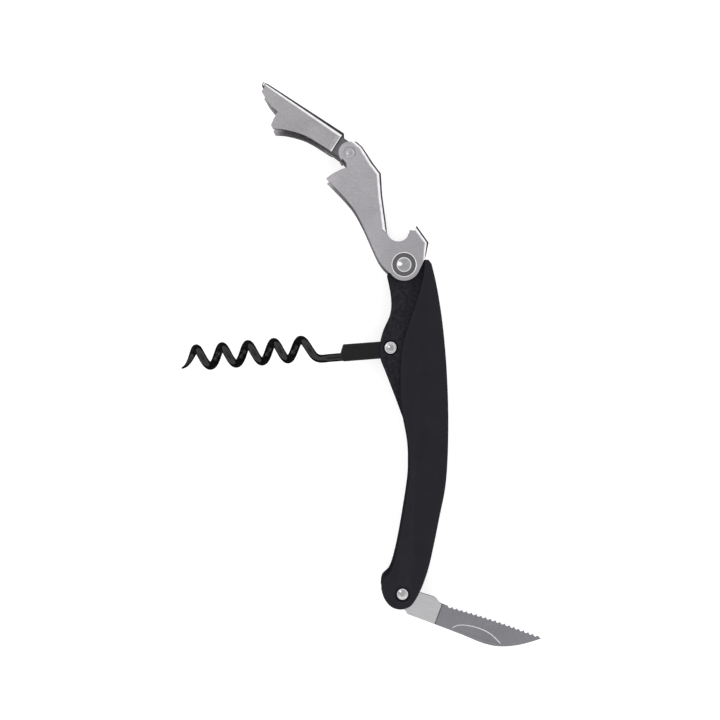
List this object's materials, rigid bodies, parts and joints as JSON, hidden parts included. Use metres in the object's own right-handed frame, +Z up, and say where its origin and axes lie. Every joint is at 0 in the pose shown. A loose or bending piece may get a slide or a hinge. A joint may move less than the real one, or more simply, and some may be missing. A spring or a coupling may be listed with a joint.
{
  "type": "waiters corkscrew",
  "caption": "Folding waiter's corkscrew with a two-stage lever, coated worm, serrated foil knife and bottle-cap notch, shown open.",
  "frame": {"origin": "middle of the tool's footprint, on the surface it lies on", "axes": "+Z up through the tool's thickness, along every pivot; +Y along the handle towards the lever; +X towards the handle's back"},
  "size_m": [0.1152, 0.1799, 0.014],
  "materials": {
    "scale_soft_touch": "soft-touch matte black",
    "black_steel": "matte black coating on steel",
    "brushed_lever": "brushed stainless steel",
    "polished_rivet": "polished",
    "blade_steel": "satin ground steel",
    "worm_coating": "glossy non-stick black",
    "plain_steel": "plain rolled steel",
    "core_plastic": "moulded black nylon"
  },
  "bodies": {
    "handle": {"front_scale": "scale_soft_touch", "rear_scale": "scale_soft_touch", "front_liner": "black_steel", "rear_liner": "black_steel", "handle_core": "core_plastic", "core_pins": "plain_steel", "worm_spring": "plain_steel", "lever_rivet": "polished_rivet", "lever_spacer": "plain_steel", "worm_rivet": "polished_rivet", "worm_spacers": "plain_steel", "knife_rivet": "polished_rivet", "knife_spacers": "plain_steel"},
    "lever": {"main_lever": "brushed_lever", "lever_washers": "plain_steel", "hinge_pin": "brushed_lever", "hinge_washers": "plain_steel"},
    "boot": {"boot_lever": "brushed_lever"},
    "worm": {"worm": "worm_coating"},
    "knife": {"knife_blade": "blade_steel"}
  },
  "joints": [
    {"name": "worm_fold", "type": "hinge", "parent": "handle", "child": "worm", "pos_m": [0.0097, 0.0049, 0.007], "axis": [0, 0, 1], "range_deg": [0, 89]},
    {"name": "lever_swing", "type": "hinge", "parent": "handle", "child": "lever", "pos_m": [0.0139, 0.0311, 0.007], "axis": [0, 0, 1], "range_deg": [0, 68]},
    {"name": "boot_swing", "type": "hinge", "parent": "lever", "child": "boot", "pos_m": [-0.00328, 0.06633, 0.007], "axis": [0, 0, 1], "range_deg": [-90, 0]},
    {"name": "knife_fold", "type": "hinge", "parent": "handle", "child": "knife", "pos_m": [0.0134, -0.0729, 0.007], "axis": [0, 0, 1], "range_deg": [-80, 92]}
  ]
}
